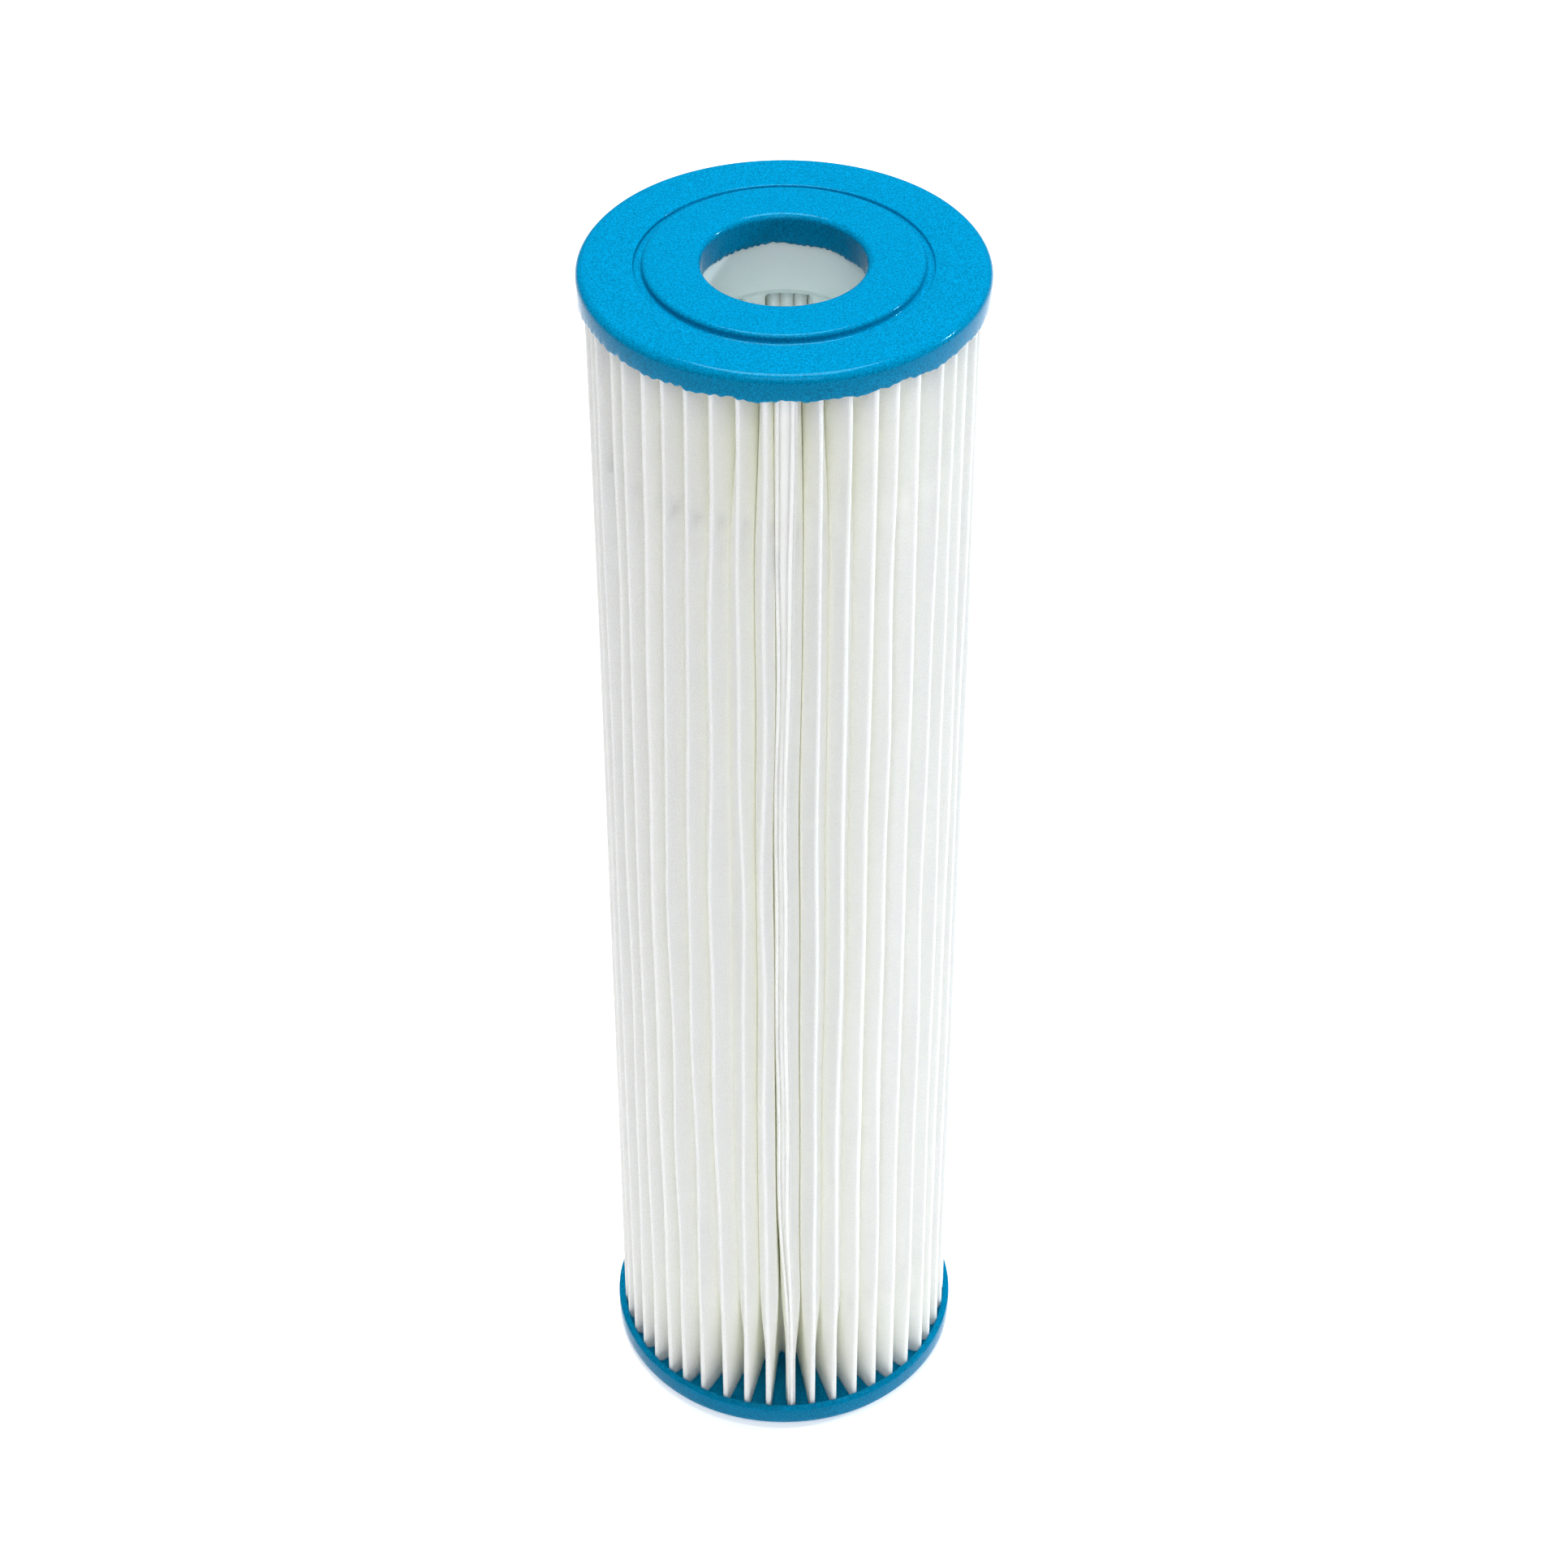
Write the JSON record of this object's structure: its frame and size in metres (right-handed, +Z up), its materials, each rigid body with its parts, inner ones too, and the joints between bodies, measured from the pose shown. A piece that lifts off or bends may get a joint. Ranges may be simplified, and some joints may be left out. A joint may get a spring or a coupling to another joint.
{
  "type": "filter cartridge",
  "caption": "Pleated cloth filter cartridge with a slotted core and a soft, raised-ring end cap with an open bore at each end.",
  "frame": {"origin": "on the axis, in the plane of the lower sealing ring that the cartridge stands on", "axes": "+Z up along the cartridge's axis, -Y towards the glued seam of the pleats"},
  "size_m": [0.0672, 0.0672, 0.248],
  "materials": {
    "cap_vinyl": "soft blue vinyl plastisol, semi-gloss, cast in an open mould",
    "filter_cloth": "white spunbond polyester, matt, finely mottled",
    "core_plastic": "natural white polypropylene, slightly translucent",
    "seam_glue": "clear white hot-melt glue"
  },
  "bodies": {
    "root": {"top_end_cap": "cap_vinyl", "bottom_end_cap": "cap_vinyl", "pleated_media": "filter_cloth", "seam_bead": "seam_glue", "core_tube": "core_plastic"}
  },
  "joints": []
}
